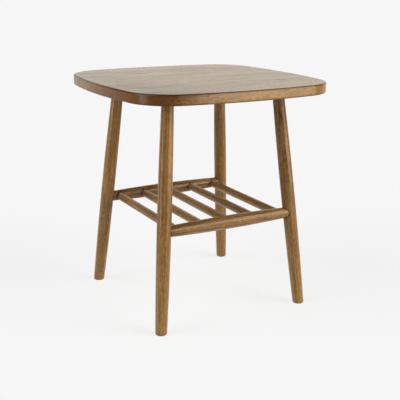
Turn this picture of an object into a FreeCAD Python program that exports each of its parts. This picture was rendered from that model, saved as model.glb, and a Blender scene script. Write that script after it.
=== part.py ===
import FreeCAD, Part

# End table with a slatted shelf, in solid wood.
#
# A square top with bowed sides, glued up from boards, stands on four turned legs that splay outwards
# both ways. Two turned rails join the legs in pairs, and straight dowels between the rails make the
# shelf.
#
# Every joint is a glued wood joint. A round tenon on each leg sits in a blind socket under the top, the
# rails are coped to the round legs with a round tenon inside, and the dowels are let into blind bores in
# the rails.
#
# Millimetres. X runs along the rails and the grain of the top, Y along the dowels, Z up. The origin is on
# the floor under the middle of the top. "Front" is the -Y side, "left" is the -X side.
import math
import os

import Sketcher
from FreeCAD import Placement, Rotation, Vector

SIZES = (
    # alias, value, what it is
    ("table_height", 530.0, "floor to the face of the top"),
    ("top_width", 500.0, "across the top at the middle of its bowed sides"),
    ("top_thick", 23.0, "thickness of the top"),
    ("side_radius", 1057.0, "radius of each bowed side"),
    ("corner_radius", 96.0, "radius of each corner, tangent to the sides"),
    ("upper_round", 3.5, "rounding of the upper edge of the top"),
    ("lower_round", 2.0, "rounding of its lower edge"),
    ("board_count", 7.0, "boards glued edge to edge"),
    ("leg_top_x", 139.0, "leg axis at the underside of the top"),
    ("leg_top_y", 130.5, "the same along Y"),
    ("foot_x", 184.0, "leg axis on the floor"),
    ("foot_y", 182.5, "the same along Y"),
    ("leg_mid_dia", 31.7, "leg diameter half way up"),
    ("leg_end_dia", 26.0, "leg diameter at both ends"),
    ("foot_round", 3.5, "rounding round the sole of the foot"),
    ("leg_tenon_dia", 16.0, "tenon in the top"),
    ("leg_tenon_long", 14.0, "its length past the shoulder, along the leg"),
    ("rail_height", 224.5, "axis of the rails and dowels above the floor"),
    ("rail_mid_dia", 30.8, "rail diameter at its middle"),
    ("rail_end_dia", 23.0, "rail diameter at its ends"),
    ("rail_tenon_dia", 14.0, "tenon in the leg"),
    ("rail_tenon_past", 4.0, "how far it runs past the axis of the leg"),
    ("dowel_count", 5.0, "dowels in the shelf"),
    ("dowel_dia", 19.0, "dowel diameter"),
    ("dowel_pitch", 66.7, "from dowel to dowel"),
    ("dowel_short", 4.0, "how far a dowel stops short of the axis of the rail"),
    ("tip_chamfer", 1.0, "chamfer on leg tenons and dowel ends"),
    ("glue_gap", 0.1, "radial room for glue in a bore"),
    ("bore_relief", 1.0, "how much deeper a bore is than what sits in it"),
    ("spare", 4.0, "how far a turned leg runs past its cut ends"),
    ("cut_room", 60.0, "side of the square that cuts an end off"),
)

# What follows from the sizes. The run is how far a leg goes sideways from the top to the floor.
DERIVED = (
    ("under_top", "Sizes.table_height - Sizes.top_thick"),
    ("leg_run", "hypot(Sizes.foot_x - Sizes.leg_top_x; Sizes.foot_y - Sizes.leg_top_y)"),
    ("leg_long", "hypot(leg_run; under_top)"),
    ("leg_tilt", "atan(leg_run / under_top)"),
    ("leg_turn", "atan((Sizes.foot_y - Sizes.leg_top_y) / (Sizes.foot_x - Sizes.leg_top_x))"),
    ("rail_share", "(under_top - Sizes.rail_height) / under_top"),
    ("rail_x", "Sizes.leg_top_x + (Sizes.foot_x - Sizes.leg_top_x) * rail_share"),
    ("rail_y", "Sizes.leg_top_y + (Sizes.foot_y - Sizes.leg_top_y) * rail_share"),
    ("rail_reach", "rail_x + Sizes.rail_tenon_past"),
    ("dowel_reach", "rail_y - Sizes.dowel_short"),
    ("board_width", "Sizes.top_width / Sizes.board_count"),
    ("side_inset", "Sizes.side_radius - Sizes.top_width / 2"),
)

COLUMNS = (("left", -1), ("right", 1))
ROWS = (("front", -1), ("rear", 1))

# Ends of a line or arc, its centre, and the sketch's own origin and axes, as the Sketcher numbers them.
START, END, CENTRE = 1, 2, 3
ORIGIN = (-1, 1)
AXIS_X, AXIS_Y = -1, -2

doc = FreeCAD.newDocument("EndTable")


# ---------------------------------------------------------------- sheets


def make_sheet(name, rows):
    """A sheet with a row for each alias: the alias in column A, its value or formula in B, a note in C."""
    sheet = doc.addObject("Spreadsheet::Sheet", name)
    for number, (alias, content, *note) in enumerate(rows, start=1):
        sheet.set(f"A{number}", alias)
        sheet.set(f"B{number}", str(content))
        sheet.setAlias(f"B{number}", alias)
        sheet.set(f"C{number}", "".join(note))
    doc.recompute()
    return sheet


make_sheet("Sizes", SIZES)
derived = make_sheet("Derived", [(alias, "=" + formula) for alias, formula in DERIVED])


def amount(expression):
    """What an expression comes to now, as a number without its unit."""
    result = derived.evalExpression(expression)
    return float(getattr(result, "Value", result))


def bind(item, **expressions):
    """Ties properties to the sheets. Two underscores in a keyword are the dot in a property's path."""
    for path, expression in expressions.items():
        item.setExpression(path.replace("__", "."), expression)


# ---------------------------------------------------------------- sketches


def new_sketch(body, role, name):
    """A sketch on the plane of the body's own origin that has this role."""
    plane = next(item for item in body.Origin.OriginFeatures if item.Role == role)
    sketch = body.newObject("Sketcher::SketchObject", name)
    sketch.AttachmentSupport = [(plane, "")]
    sketch.MapMode = "FlatFace"
    return sketch


def constrain(sketch, *constraint):
    sketch.addConstraint(Sketcher.Constraint(*constraint))


def dimension(sketch, name, expression, *constraint):
    """Adds a named driving constraint whose value the expression gives."""
    index = sketch.addConstraint(Sketcher.Constraint(*constraint, amount(expression)))
    sketch.renameConstraint(index, name)
    sketch.setExpression("Constraints." + name, expression)


def join_ends(sketch, count):
    """Closes a loop of lines and arcs that were added in order."""
    for number in range(count):
        constrain(sketch, "Coincident", number, END, (number + 1) % count, START)


def arc_about(centre, radius, angle, half_angle):
    """An arc that spreads half_angle to each side of angle, in radians."""
    circle = Part.Circle(centre, Vector(0, 0, 1), radius)
    return Part.ArcOfCircle(circle, angle - half_angle, angle + half_angle)


def barrel_sketch(body, below, above, end_dia, mid_dia):
    """Half a barrel beside the sketch's Y axis: its side is one arc, thickest half way.

    below and above are how far it reaches down and up from the origin. All four are expressions.
    """
    half = f"(({above} + {below}) / 2)"
    rise = f"(({mid_dia} - {end_dia}) / 2)"
    bow = f"({half} ^ 2 + {rise} ^ 2) / (2 * {rise})"
    low, high = -amount(below), amount(above)
    edge, radius = amount(end_dia) / 2, amount(bow)
    centre = Vector(amount(mid_dia) / 2 - radius, (low + high) / 2, 0)

    sketch = new_sketch(body, "XZ_Plane", "Profile")
    sketch.addGeometry(Part.LineSegment(Vector(0, high, 0), Vector(0, low, 0)))
    sketch.addGeometry(Part.LineSegment(Vector(0, low, 0), Vector(edge, low, 0)))
    sketch.addGeometry(arc_about(centre, radius, 0, math.asin(amount(half) / radius)))
    sketch.addGeometry(Part.LineSegment(Vector(edge, high, 0), Vector(0, high, 0)))
    join_ends(sketch, 4)
    constrain(sketch, "PointOnObject", 0, START, AXIS_Y)
    constrain(sketch, "Vertical", 0)
    constrain(sketch, "Horizontal", 1)
    constrain(sketch, "Horizontal", 3)
    dimension(sketch, "below", below, "DistanceY", 0, END, *ORIGIN)
    dimension(sketch, "above", above, "DistanceY", *ORIGIN, 0, START)
    dimension(sketch, "low_end", end_dia + " / 2", "DistanceX", 1, START, 1, END)
    dimension(sketch, "high_end", end_dia + " / 2", "DistanceX", 3, END, 3, START)
    dimension(sketch, "bow", bow, "Radius", 2)
    return sketch


def circle_sketch(body, name, diameter):
    sketch = new_sketch(body, "XY_Plane", name)
    sketch.addGeometry(Part.Circle(Vector(0, 0, 0), Vector(0, 0, 1), amount(diameter) / 2))
    constrain(sketch, "Coincident", 0, CENTRE, *ORIGIN)
    dimension(sketch, "diameter", diameter, "Diameter", 0)
    return sketch


def square_sketch(body, name, side, upward):
    """A square that stands on the sketch's X axis, or hangs under it, centred on its Y axis."""
    wide = amount(side)
    near, far = (0, wide) if upward else (0, -wide)
    corners = [
        Vector(-wide / 2, near, 0),
        Vector(wide / 2, near, 0),
        Vector(wide / 2, far, 0),
        Vector(-wide / 2, far, 0),
    ]
    sketch = new_sketch(body, "XZ_Plane", name)
    for start, end in zip(corners, corners[1:] + corners[:1]):
        sketch.addGeometry(Part.LineSegment(start, end))
    join_ends(sketch, 4)
    constrain(sketch, "PointOnObject", 0, START, AXIS_X)
    constrain(sketch, "Symmetric", 0, START, 0, END, AXIS_Y)
    constrain(sketch, "Vertical", 1)
    constrain(sketch, "Horizontal", 2)
    constrain(sketch, "Vertical", 3)
    dimension(sketch, "wide", side, "DistanceX", 0, START, 0, END)
    upright = (1, START, 1, END) if upward else (1, END, 1, START)
    dimension(sketch, "high", side, "DistanceY", *upright)
    return sketch


def bowed_square_sketch(body):
    """Four arcs that bulge outwards and meet on the diagonals."""
    inset, radius = amount("Derived.side_inset"), amount("Sizes.side_radius")
    corner = (math.sqrt(2 * radius**2 - inset**2) - inset) / 2
    sketch = new_sketch(body, "XY_Plane", "Outline")
    for side in range(4):
        angle = side * math.pi / 2
        centre = Vector(-inset * math.cos(angle), -inset * math.sin(angle), 0)
        sketch.addGeometry(arc_about(centre, radius, angle, math.asin(corner / radius)))
    join_ends(sketch, 4)
    right, rear, left, front = range(4)
    for side, axis in ((right, AXIS_X), (rear, AXIS_Y), (left, AXIS_X), (front, AXIS_Y)):
        constrain(sketch, "PointOnObject", side, CENTRE, axis)
        dimension(sketch, f"bow_{side}", "Sizes.side_radius", "Radius", side)
    dimension(sketch, "right_inset", "Derived.side_inset", "DistanceX", right, CENTRE, *ORIGIN)
    dimension(sketch, "rear_inset", "Derived.side_inset", "DistanceY", rear, CENTRE, *ORIGIN)
    dimension(sketch, "left_inset", "Derived.side_inset", "DistanceX", *ORIGIN, left, CENTRE)
    dimension(sketch, "front_inset", "Derived.side_inset", "DistanceY", *ORIGIN, front, CENTRE)
    return sketch


# ---------------------------------------------------------------- features


def new_body(label):
    body = doc.addObject("PartDesign::Body", "Body")
    body.Label = label
    return body


def new_feature(body, kind, name, **properties):
    feature = body.newObject("PartDesign::" + kind, name)
    for key, setting in properties.items():
        setattr(feature, key, setting)
    return feature


def turn(body, profile):
    """Turns half a profile about the body's Z axis."""
    turned = new_feature(body, "Revolution", "Turned", Profile=profile, Angle=360)
    turned.ReferenceAxis = (profile, ["V_Axis"])
    doc.recompute()


def cut_level(body, name, upward, height="0 mm"):
    """Cuts a leaning leg level, above or below the point of its axis at this height along it."""
    square = square_sketch(body, name + "Square", "Sizes.cut_room", upward)
    square.AttachmentOffset = Placement(Vector(0, 0, 0), Rotation(Vector(0, 0, 1), -1))
    bind(square, AttachmentOffset__Base__y=height, AttachmentOffset__Rotation__Angle="-Derived.leg_tilt")
    before = body.Tip.Shape.Volume
    pocket = new_feature(body, "Pocket", name, Profile=square, Type="ThroughAll", SideType="Symmetric")
    doc.recompute()
    if not pocket.Shape.Volume < before:
        raise ValueError(f"{body.Label}: {name} removed nothing")


def soften(body, kind, name, size, is_wanted):
    """A fillet or chamfer on the edges of the body so far that pass the test."""
    base = body.Tip
    edges = [f"Edge{n}" for n, edge in enumerate(base.Shape.Edges, start=1) if is_wanted(edge)]
    feature = new_feature(body, kind, name, Base=(base, edges))
    feature.setExpression("Radius" if kind == "Fillet" else "Size", size)
    doc.recompute()


def is_level(edge, height):
    """True if the whole edge lies at this height."""
    return abs(edge.BoundBox.ZMin - height) < 0.01 and abs(edge.BoundBox.ZMax - height) < 0.01


def drill(label, diameter, length, turn_y=0, turn_x=0):
    """A cylinder that cuts a bore for this diameter, with room for glue round it."""
    cylinder = doc.addObject("Part::Cylinder", "Drill")
    cylinder.Label = label
    cylinder.Placement = Placement(Vector(0, 0, 0), Rotation(0, turn_y, turn_x))
    bind(cylinder, Radius=f"{diameter} / 2 + Sizes.glue_gap", Height=length)
    return cylinder


def joined(label, shapes):
    fuse = doc.addObject("Part::MultiFuse", "Tools")
    fuse.Label = label
    fuse.Shapes = shapes
    return fuse


def boolean(kind, label, base, tool):
    result = doc.addObject("Part::" + kind, "Piece")
    result.Label = label
    result.Base = base
    result.Tool = tool
    return result


def leg_placement(side_x, side_y):
    """Stands Z on the foot's place and leans it inwards, with X pointing outwards."""
    foot = f"create(<<vector>>; {side_x} * Sizes.foot_x; {side_y} * Sizes.foot_y; 0)"
    yaw = f"{side_y} * (90 deg - {side_x} * (90 deg - Derived.leg_turn))"
    return f"create(<<placement>>; {foot}; create(<<rotation>>; {yaw}; -Derived.leg_tilt; 0 deg))"


# ---------------------------------------------------------------- pieces


def make_leg_blank(label, side_x, side_y):
    """The turned leg, cut level under the top and on the floor, with its tenon on top."""
    body = new_body(label)
    above = "(Derived.leg_long + Sizes.spare)"
    turn(body, barrel_sketch(body, "Sizes.spare", above, "Sizes.leg_end_dia", "Sizes.leg_mid_dia"))
    cut_level(body, "Shoulder", upward=True, height="Derived.leg_long")
    cut_level(body, "Sole", upward=False)
    spare, end_dia = amount("Sizes.spare"), amount("Sizes.leg_end_dia")

    def is_rim(edge):
        return edge.BoundBox.ZMax < spare and edge.Length > end_dia

    soften(body, "Fillet", "SoleRounding", "Sizes.foot_round", is_rim)
    circle = circle_sketch(body, "TenonCircle", "Sizes.leg_tenon_dia")
    bind(circle, AttachmentOffset__Base__z="Derived.leg_long - Sizes.spare")
    tenon = new_feature(body, "Pad", "Tenon", Profile=circle)
    bind(tenon, Length="Sizes.leg_tenon_long + Sizes.spare")
    doc.recompute()
    tip = amount("Derived.leg_long + Sizes.leg_tenon_long")
    soften(body, "Chamfer", "TenonTip", "Sizes.tip_chamfer", lambda edge: is_level(edge, tip))
    body.setExpression("Placement", leg_placement(side_x, side_y))
    return body


def make_rail_blank(label, side_y):
    """The turned rail along X, as long as its tenons reach and still round where the legs stand."""
    body = new_body(label)
    reach = "Derived.rail_reach"
    turn(body, barrel_sketch(body, reach, reach, "Sizes.rail_end_dia", "Sizes.rail_mid_dia"))
    body.Placement = Placement(Vector(0, 0, 0), Rotation(0, 90, 0))
    bind(body, Placement__Base__y=f"{side_y} * Derived.rail_y", Placement__Base__z="Sizes.rail_height")
    return body


def make_dowel(label, place):
    """A straight dowel along Y with chamfered ends."""
    body = new_body(label)
    circle = circle_sketch(body, "DowelCircle", "Sizes.dowel_dia")
    pad = new_feature(body, "Pad", "Dowel", Profile=circle, SideType="Symmetric")
    bind(pad, Length="2 * Derived.dowel_reach")
    doc.recompute()
    end = amount("Derived.dowel_reach")

    def is_end(edge):
        return is_level(edge, end) or is_level(edge, -end)

    soften(body, "Chamfer", "Ends", "Sizes.tip_chamfer", is_end)
    body.Placement = Placement(Vector(0, 0, 0), Rotation(0, 0, 90))
    bind(body, Placement__Base__x=f"{place} * Sizes.dowel_pitch", Placement__Base__z="Sizes.rail_height")
    return body


def make_top_blank():
    """The whole top: bowed sides, round corners, softened edges."""
    body = new_body("top_blank")
    pad = new_feature(body, "Pad", "Slab", Profile=bowed_square_sketch(body))
    bind(pad, Length="Sizes.top_thick")
    doc.recompute()
    thick = amount("Sizes.top_thick")

    def is_upright(edge):
        return abs(edge.BoundBox.ZLength - thick) < 0.01

    soften(body, "Fillet", "Corners", "Sizes.corner_radius", is_upright)
    soften(body, "Fillet", "UpperEdge", "Sizes.upper_round", lambda edge: is_level(edge, thick))
    soften(body, "Fillet", "LowerEdge", "Sizes.lower_round", lambda edge: is_level(edge, 0))
    bind(body, Placement__Base__z="Derived.under_top")
    return body


def make_strip(number):
    """The space that one board takes up, counted from the front."""
    strip = doc.addObject("Part::Box", "Strip")
    strip.Label = f"strip_{number}"
    bind(strip, Length="Sizes.top_width", Width="Derived.board_width", Height="Sizes.top_thick")
    bind(
        strip,
        Placement__Base__x="-Sizes.top_width / 2",
        Placement__Base__y=f"{number - 1} * Derived.board_width - Sizes.top_width / 2",
        Placement__Base__z="Derived.under_top",
    )
    return strip


# ---------------------------------------------------------------- joints between the pieces


def make_mortise_drill(row, side_y):
    """One drill on the rail's axis, which reaches blind into both legs of the pair."""
    half = "(Derived.rail_reach + Sizes.bore_relief)"
    tool = drill(f"mortise_drill_{row}", "Sizes.rail_tenon_dia", "2 * " + half, turn_y=90)
    bind(
        tool,
        Placement__Base__x="-" + half,
        Placement__Base__y=f"{side_y} * Derived.rail_y",
        Placement__Base__z="Sizes.rail_height",
    )
    return tool


def make_socket_drill(name, side_x, side_y):
    """A drill along the whole axis of a leg, which meets the top only at its socket."""
    length = "Derived.leg_long + Sizes.leg_tenon_long + Sizes.bore_relief"
    tool = drill(f"socket_drill_{name}", "Sizes.leg_tenon_dia", length)
    tool.setExpression("Placement", leg_placement(side_x, side_y))
    return tool


def make_bore_drill(number, place):
    """One drill on a dowel's axis, which reaches blind into both rails."""
    half = "(Derived.dowel_reach + Sizes.bore_relief)"
    tool = drill(f"bore_drill_{number}", "Sizes.dowel_dia", "2 * " + half, turn_x=90)
    bind(
        tool,
        Placement__Base__x=f"{place} * Sizes.dowel_pitch",
        Placement__Base__y=half,
        Placement__Base__z="Sizes.rail_height",
    )
    return tool


# ---------------------------------------------------------------- the table


def make_legs():
    """The four legs by row and column, each with the mortise for its rail."""
    legs = {}
    for row, side_y in ROWS:
        mortise = make_mortise_drill(row, side_y)
        for column, side_x in COLUMNS:
            label = f"leg_{row}_{column}"
            blank = make_leg_blank(label + "_blank", side_x, side_y)
            legs[row, column] = boolean("Cut", label, blank, mortise)
    return legs


def make_shelf(legs):
    """The dowels and the two rails. The legs leave of a rail its coped shoulders and its tenons."""
    count = int(amount("Sizes.dowel_count"))
    places = [number - (count - 1) / 2 for number in range(count)]
    dowels = [make_dowel(f"shelf_dowel_{n}", place) for n, place in enumerate(places, start=1)]
    drills = [make_bore_drill(n, place) for n, place in enumerate(places, start=1)]
    rails = []
    for row, side_y in ROWS:
        tools = joined(f"rail_{row}_tools", [legs[row, "left"], legs[row, "right"], *drills])
        rails.append(boolean("Cut", f"rail_{row}", make_rail_blank(f"rail_{row}_blank", side_y), tools))
    return dowels + rails


def make_top():
    """The boards of the top, with the sockets for the legs."""
    drills = [make_socket_drill(f"{row}_{column}", x, y) for row, y in ROWS for column, x in COLUMNS]
    top = boolean("Cut", "top_drilled", make_top_blank(), joined("socket_drills", drills))
    numbers = range(1, int(amount("Sizes.board_count")) + 1)
    return [boolean("Common", f"top_board_{number}", top, make_strip(number)) for number in numbers]


legs = make_legs()
pieces = [*legs.values(), *make_shelf(legs), *make_top()]
doc.recompute()

for item in doc.Objects:
    if {"Invalid", "Error"} & set(item.State):
        raise RuntimeError(f"{item.Label}: {item.State}")
for piece in pieces:
    shape = piece.Shape
    if shape.isNull() or not shape.isValid() or len(shape.Solids) != 1:
        raise RuntimeError(f"{piece.Label} isn't one valid solid")

os.makedirs("parts", exist_ok=True)
for piece in pieces:
    piece.Shape.exportStep(f"parts/{piece.Label}.step")
    print(f"{piece.Label}: {piece.Shape.Volume / 1000:.2f} cm3")
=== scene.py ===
import math
from functools import partial

import bpy
import numpy as np
from bpy.props import FloatProperty, FloatVectorProperty, IntProperty, PointerProperty
from mathutils import Matrix, Vector


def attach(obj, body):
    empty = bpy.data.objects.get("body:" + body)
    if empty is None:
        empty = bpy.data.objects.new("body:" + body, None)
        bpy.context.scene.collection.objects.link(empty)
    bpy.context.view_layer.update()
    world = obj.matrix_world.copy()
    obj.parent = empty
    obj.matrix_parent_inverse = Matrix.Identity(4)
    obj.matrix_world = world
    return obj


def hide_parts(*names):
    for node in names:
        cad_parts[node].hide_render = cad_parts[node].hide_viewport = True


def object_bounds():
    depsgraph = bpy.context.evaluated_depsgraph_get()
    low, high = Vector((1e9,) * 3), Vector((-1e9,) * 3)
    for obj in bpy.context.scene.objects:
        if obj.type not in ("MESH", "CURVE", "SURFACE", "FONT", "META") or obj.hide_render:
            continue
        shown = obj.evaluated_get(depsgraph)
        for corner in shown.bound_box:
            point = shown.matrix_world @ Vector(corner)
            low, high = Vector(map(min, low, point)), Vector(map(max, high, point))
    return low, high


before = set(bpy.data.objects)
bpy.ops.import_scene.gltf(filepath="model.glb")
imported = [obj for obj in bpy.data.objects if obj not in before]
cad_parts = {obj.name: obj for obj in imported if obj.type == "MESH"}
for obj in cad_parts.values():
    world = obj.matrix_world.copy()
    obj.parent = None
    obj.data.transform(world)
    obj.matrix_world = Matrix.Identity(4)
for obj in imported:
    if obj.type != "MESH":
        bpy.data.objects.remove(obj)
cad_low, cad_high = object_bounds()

bl_info = {
    "name": "End table with dowel shelf",
    "version": (1, 0, 0),
    "blender": (4, 5, 0),
    "location": "3D View > Sidebar > End Table",
    "description": "Builds a stained wood end table with a shelf of dowels, and a plain studio round it",
    "category": "Object",
}

WELD = 1e-6  # points nearer than this become one
CREASE = math.radians(35)  # faces that turn by more than this meet in a sharp edge
MILLIMETRES = 1000  # in a metre


# ---- settings


def linear(hex_colour):
    """The linear red, green and blue of an sRGB hex colour."""
    levels = np.array([int(hex_colour[i : i + 2], 16) for i in (1, 3, 5)]) / 255
    return tuple(np.where(levels <= 0.04045, levels / 12.92, ((levels + 0.055) / 1.055) ** 2.4))


def length(name, description, default):
    """A length in metres, 0 or more."""
    return FloatProperty(
        name=name, description=description, default=default, min=0, subtype="DISTANCE", unit="LENGTH"
    )


def colour(name, description, default):
    """A colour, with its default given as sRGB hex."""
    return FloatVectorProperty(
        name=name, description=description, default=linear(default), size=3, min=0, max=1, subtype="COLOR"
    )


def number(name, description, default, **limits):
    """A plain number within these limits."""
    return FloatProperty(name=name, description=description, default=default, **limits)


class TableSizes(bpy.types.PropertyGroup):
    """The driving dimensions, which are those of the solids."""

    table_height: length("Height", "Floor to the face of the top", cad_high.z)
    top_width: length("Top width", "Across the top at the middle of its bowed sides", cad_high.x - cad_low.x)
    top_thick: length("Top thickness", "Thickness of the top", 0.023)
    side_radius: length("Side radius", "Radius of each bowed side of the top", 1.057)
    corner_radius: length("Corner radius", "Radius of each corner of the top", 0.096)
    upper_round: length("Upper edge", "Rounding of the upper edge of the top", 0.0035)
    lower_round: length("Lower edge", "Rounding of the lower edge of the top", 0.002)
    board_count: IntProperty(name="Boards", description="Boards glued edge to edge", default=7, min=5)
    leg_top_x: length("Leg top X", "Leg axis at the underside of the top", 0.139)
    leg_top_y: length("Leg top Y", "Leg axis at the underside of the top", 0.1305)
    foot_x: length("Foot X", "Leg axis on the floor", 0.184)
    foot_y: length("Foot Y", "Leg axis on the floor", 0.1825)
    leg_mid_dia: length("Leg middle", "Leg diameter half way up", 0.0317)
    leg_end_dia: length("Leg ends", "Leg diameter at both ends", 0.026)
    foot_round: length("Foot rounding", "Rounding round the sole of the foot", 0.0035)
    leg_tenon_dia: length("Leg tenon", "Diameter of the tenon in the top", 0.016)
    leg_tenon_long: length("Leg tenon length", "Tenon past the shoulder", 0.014)
    spare: length("Turning spare", "How far the turned shape runs past its cut ends", 0.004)
    rail_height: length("Rail height", "Axis of the rails and dowels above the floor", 0.2245)
    rail_mid_dia: length("Rail middle", "Rail diameter at its middle", 0.0308)
    rail_end_dia: length("Rail ends", "Rail diameter at its ends", 0.023)
    rail_tenon_dia: length("Rail tenon", "Diameter of the tenon in the leg", 0.014)
    rail_tenon_past: length("Rail tenon reach", "How far it runs past the axis of the leg", 0.004)
    dowel_count: IntProperty(name="Dowels", description="Dowels in the shelf", default=5, min=1)
    dowel_dia: length("Dowel", "Dowel diameter", 0.019)
    dowel_pitch: length("Dowel pitch", "From dowel to dowel", 0.0667)
    dowel_short: length("Dowel end", "How far a dowel stops short of the axis of the rail", 0.004)
    tip_chamfer: length("Tip chamfer", "Chamfer on tenons and dowel ends", 0.001)


class TableFinish(bpy.types.PropertyGroup):
    """The stain and the lacquer."""

    pale: colour("Pale wood", "Stain on the dense wood between the pores", "#A47A41")
    deep: colour("Deep wood", "Stain in the open wood at the start of each ring", "#513315")
    pore: colour("Pores", "Stain that has filled the pores", "#2E1A0B")
    end: colour("End grain", "Stain that has soaked into the end grain", "#5E2C00")
    # Where two parts meet: gathered stain, with painted shade in the joint.
    joint: colour("Joints", "Stain gathered where two parts meet", "#1E1006")
    ring_width: number("Ring width", "Growth ring spacing in millimetres", 2.6, min=0.5)
    gloss: number("Lacquer roughness", "Roughness of the satin lacquer", 0.235, min=0, max=1)


class TableStudio(bpy.types.PropertyGroup):
    """The floor, the room and the camera's lens."""

    floor: colour("Floor", "Colour of the floor and of the background", "#F6F6F6")
    backdrop: colour("Backdrop", "Colour of the lit backdrop as the gloss sees it", "#FFFEF4")
    floor_size: length("Floor size", "Side of the floor", 5)
    glow: number("Floor glow", "Share of the floor's look that is its own glow", 0.76, min=0, max=1)
    pool_size: length("Pool of light", "How far from the table the floor is bright in the gloss", 0.5)
    pool_fade: length("Pool fade", "Over how far it fades", 0.7)
    pool_rest: number("Beyond the pool", "Brightness of the floor in the gloss past the pool", 0.1, min=0)
    unlit: number("Unlit room", "Brightness of the room away from the backdrop", 0.04, min=0, max=1)
    fill: number("Backdrop light", "Share of its look that the backdrop gives as light", 0.9, min=0)
    shine: number("Lamp shine", "Brightness of the lamps in the gloss, as a share of their own", 1.1, min=0)
    lens: number("Lens", "Focal length in millimetres on a 36 mm sensor", 67.5, min=1)


# ---- surfaces


def skin(node_name, grids):
    """The stained timber that stands for a node: one closed mesh out of grids of points whose edges meet.

    Each grid holds "place", an array of rows by columns of points, and under other names the values of its
    attributes at those points. Neighbours make quads, which wind the same way in all the grids. Points at the
    same place become one, a quad that loses a side that way becomes a triangle, and one that loses more is
    left out.
    """
    name = node_name + "_stained"
    quads, start = [], 0
    for grid in grids:
        rows, columns = grid["place"].shape[:2]
        index = start + np.arange(rows * columns).reshape(rows, columns)
        corners = (index[:-1, :-1], index[:-1, 1:], index[1:, 1:], index[1:, :-1])
        quads.append(np.stack(corners, axis=-1).reshape(-1, 4))
        start += rows * columns
    values = {}
    for key, sample in grids[0].items():
        values[key] = np.concatenate([grid[key].reshape(-1, *sample.shape[2:]) for grid in grids])
    cells = np.round(values["place"] / WELD).astype(np.int64)
    _, first, owner = np.unique(cells, axis=0, return_index=True, return_inverse=True)
    quads = owner.reshape(-1)[np.concatenate(quads)]
    lost = quads == np.roll(quads, -1, axis=1)
    whole = quads[lost.sum(1) == 0]
    thin = quads[lost.sum(1) == 1]
    kept = (lost[lost.sum(1) == 1].argmax(1)[:, None] + np.arange(1, 4)) % 4
    triangles = np.take_along_axis(thin, kept, axis=1)

    mesh = bpy.data.meshes.new(name)
    mesh.from_pydata(values["place"][first].tolist(), [], whole.tolist() + triangles.tolist())
    mesh.polygons.foreach_set("use_smooth", np.ones(len(mesh.polygons), bool))
    face_outwards(mesh)
    mesh.set_sharp_from_angle(angle=CREASE)
    for key, amounts in values.items():
        if key == "place":
            continue
        vector = amounts.ndim == 2
        kind, field = ("FLOAT_VECTOR", "vector") if vector else ("FLOAT", "value")
        attribute = mesh.attributes.new(key, kind, "POINT")
        attribute.data.foreach_set(field, amounts[first].astype(np.float32).ravel())
    mesh.materials.append(timber_material())
    piece = in_scene(name, mesh)
    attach(piece, "root")
    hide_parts(node_name)


def in_scene(name, data):
    """A new object with this data, linked to the scene."""
    made = bpy.data.objects.new(name, data)
    bpy.context.scene.collection.objects.link(made)
    return made


def face_outwards(mesh):
    """Turns all faces round if the volume they close, a sixth of the sum of a x b . c, is negative."""
    points = np.empty(len(mesh.vertices) * 3)
    mesh.vertices.foreach_get("co", points)
    mesh.calc_loop_triangles()
    corners = np.empty(len(mesh.loop_triangles) * 3, int)
    mesh.loop_triangles.foreach_get("vertices", corners)
    a, b, c = points.reshape(-1, 3)[corners.reshape(-1, 3)].transpose(1, 0, 2)
    if (np.cross(a, b) * c).sum() < 0:
        mesh.flip_normals()


def swell(along, low, high, end_dia, mid_dia):
    """Radius of a turned barrel: its side is one arc from low to high, thickest half way between them.

    The arc's own radius is the squares of half its length and of its rise over twice the rise.
    """
    half = (high - low) / 2
    rise = (mid_dia - end_dia) / 2
    bow = (half**2 + rise**2) / (2 * rise)
    return mid_dia / 2 - bow + np.sqrt(bow**2 - (along - (low + high) / 2) ** 2)


FINE_STEP, FINE_REACH = 0.0007, 0.012  # rows this near each other, this far out, show the dark colour at a joint: gathered stain and painted shade
# How many rows each surface has, before the dense places add theirs.
BOARD_ROWS, CORNER_ROWS, SIDE_ROWS, LEG_ROWS, RAIL_ROWS, DOWEL_ROWS = 90, 30, 32, 110, 60, 60


def spread(start, stop, count, dense=()):
    """Even steps from start to stop, with fine ones to both sides of the dense places."""
    even = np.linspace(start, stop, count)
    fine = [place + np.arange(-FINE_REACH, FINE_REACH, FINE_STEP) for place in dense]
    places = np.unique(np.round(np.concatenate([even, *fine]), 6))
    return places[(places >= min(start, stop)) & (places <= max(start, stop))]


def rotated(first, second, degrees):
    """Two lengths or directions square to each other, turned from the first towards the second."""
    cosine, sine = math.cos(math.radians(degrees)), math.sin(math.radians(degrees))
    return first * cosine + second * sine, second * cosine - first * sine


def sawn(place, middle, grain, side, log):
    """Where points lie in the log that the piece was sawn from, in millimetres along and across its pith.

    log is the pith's distance from the middle of the piece along side and square to it, then how far round
    those two directions the pith runs out of line with the grain, in degrees, then a place along the log.
    """
    across, below, turn, lift, along = log
    third = np.cross(grain, side)
    local = (place - middle) @ np.stack([grain, side, third], axis=1) * MILLIMETRES
    ahead, left = rotated(local[..., 0], local[..., 1], turn)
    ahead, up = rotated(ahead, local[..., 2], lift)
    return np.stack([ahead + along, left + across, up + below], axis=-1)


def near(distance, reach):
    """1 at a joint, and e to the minus square of distance over reach further out."""
    return np.exp(-((np.maximum(distance, 0) / reach) ** 2))


# ---- the top

ARRIS_DEPTH = 0.3  # the colour is darker round a ring this far inside both faces, as a share of the rounding
ARRIS_REACH = 0.0012  # how far out from that ring it shows
RIM_STEPS = np.array([0, 0.0006, 0.0016, 0.003, 0.006, 0.011])  # rows this far in from the ends of a board
EVEN_SHARE = 0.93  # the even rows reach this share of the way to the ends
TO_RIM = np.concatenate([np.linspace(0, 0.94, 16), [0.97, 0.985, 0.993, 1]])  # shares of the way to the rim


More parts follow.
